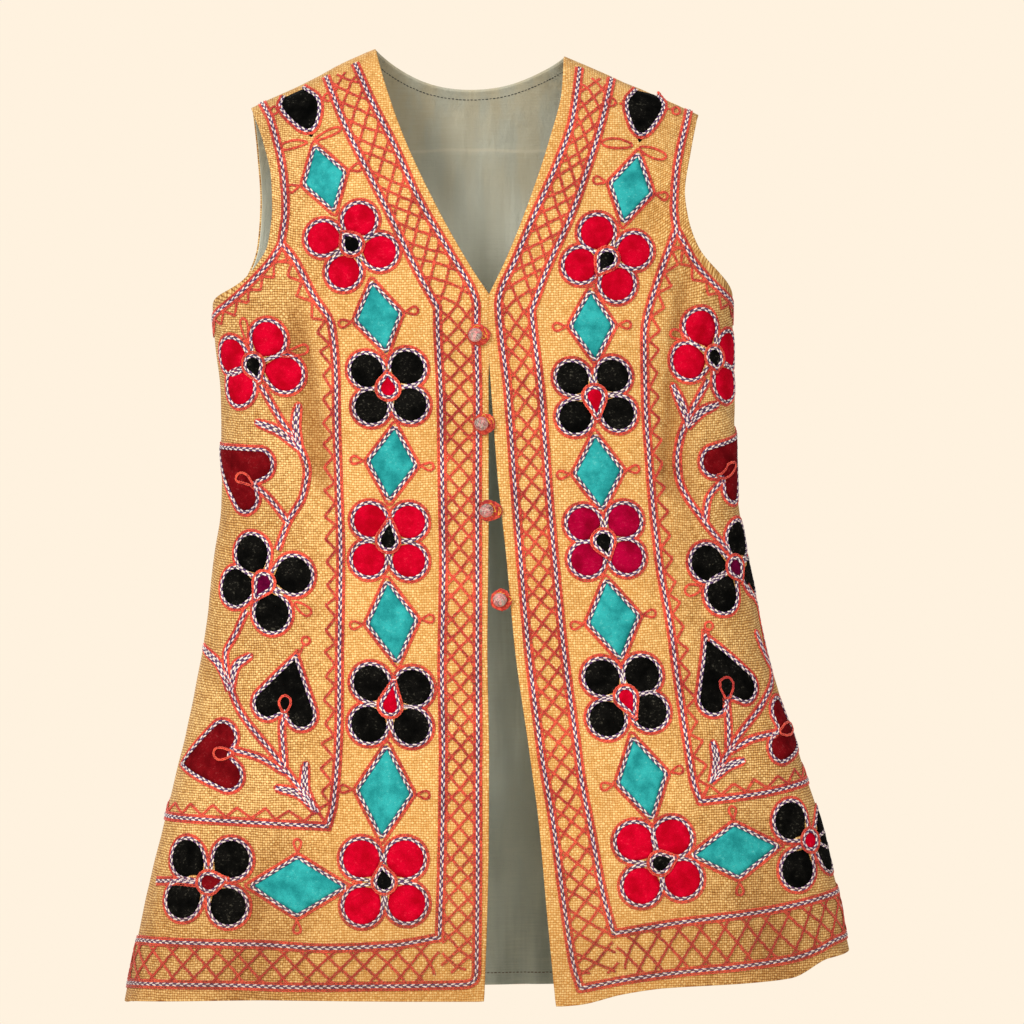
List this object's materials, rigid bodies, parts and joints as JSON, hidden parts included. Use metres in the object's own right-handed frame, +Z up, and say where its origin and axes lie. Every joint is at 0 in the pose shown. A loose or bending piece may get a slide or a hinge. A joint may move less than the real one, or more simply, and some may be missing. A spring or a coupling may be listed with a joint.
{
  "type": "embroidered waistcoat",
  "caption": "Long sleeveless burlap waistcoat, open front with ball buttons and thread loops, velvet flower, diamond and heart applique with chain-stitched borders, held hollow as worn",
  "frame": {"origin": "midway between the shoulders, on the shoulder seams, where a wearer carries the garment", "axes": "+X to the right of someone who faces its front, -Y out of the front, +Z up"},
  "size_m": [0.588, 0.1976, 0.7762],
  "materials": {
    "burlap": "coarse plain weave, gold, matt",
    "lining": "fine plain cotton, grey-green, matt",
    "velvet_black": "short pile velvet",
    "velvet_red": "short pile velvet",
    "velvet_crimson": "short pile velvet",
    "velvet_dark_red": "short pile velvet",
    "velvet_teal": "short pile velvet",
    "button_thread": "wound cotton thread, mottled",
    "loop_thread": "chained cotton thread"
  },
  "bodies": {
    "root": {"front_button_side": "burlap", "front_loop_side": "burlap", "back": "burlap", "back_lining": "lining", "applique_left_kite": "velvet_black", "applique_left_diamond_1": "velvet_teal", "applique_left_diamond_2": "velvet_teal", "applique_left_diamond_3": "velvet_teal", "applique_left_diamond_4": "velvet_teal", "applique_left_diamond_5": "velvet_teal", "applique_left_diamond_6": "velvet_teal", "applique_left_flower_1": "velvet_red", "applique_left_flower_2": "velvet_black", "applique_left_flower_3": "velvet_red", "applique_left_flower_4": "velvet_black", "applique_left_flower_5": "velvet_red", "applique_left_flower_6": "velvet_black", "applique_left_flower_7": "velvet_red", "applique_left_flower_8": "velvet_black", "applique_left_heart_1": "velvet_dark_red", "applique_left_heart_2": "velvet_black", "applique_left_heart_3": "velvet_dark_red", "applique_right_kite": "velvet_black", "applique_right_diamond_1": "velvet_teal", "applique_right_diamond_2": "velvet_teal", "applique_right_diamond_3": "velvet_teal", "applique_right_diamond_4": "velvet_teal", "applique_right_diamond_5": "velvet_teal", "applique_right_diamond_6": "velvet_teal", "applique_right_flower_1": "velvet_red", "applique_right_flower_2": "velvet_black", "applique_right_flower_3": "velvet_crimson", "applique_right_flower_4": "velvet_black", "applique_right_flower_5": "velvet_red", "applique_right_flower_6": "velvet_black", "applique_right_flower_7": "velvet_red", "applique_right_flower_8": "velvet_black", "applique_right_heart_1": "velvet_dark_red", "applique_right_heart_2": "velvet_black", "applique_right_heart_3": "velvet_dark_red", "button_1": "button_thread", "button_2": "button_thread", "button_3": "button_thread", "button_4": "button_thread", "loop_1": "loop_thread", "loop_2": "loop_thread", "loop_3": "loop_thread", "loop_4": "loop_thread"}
  },
  "joints": []
}
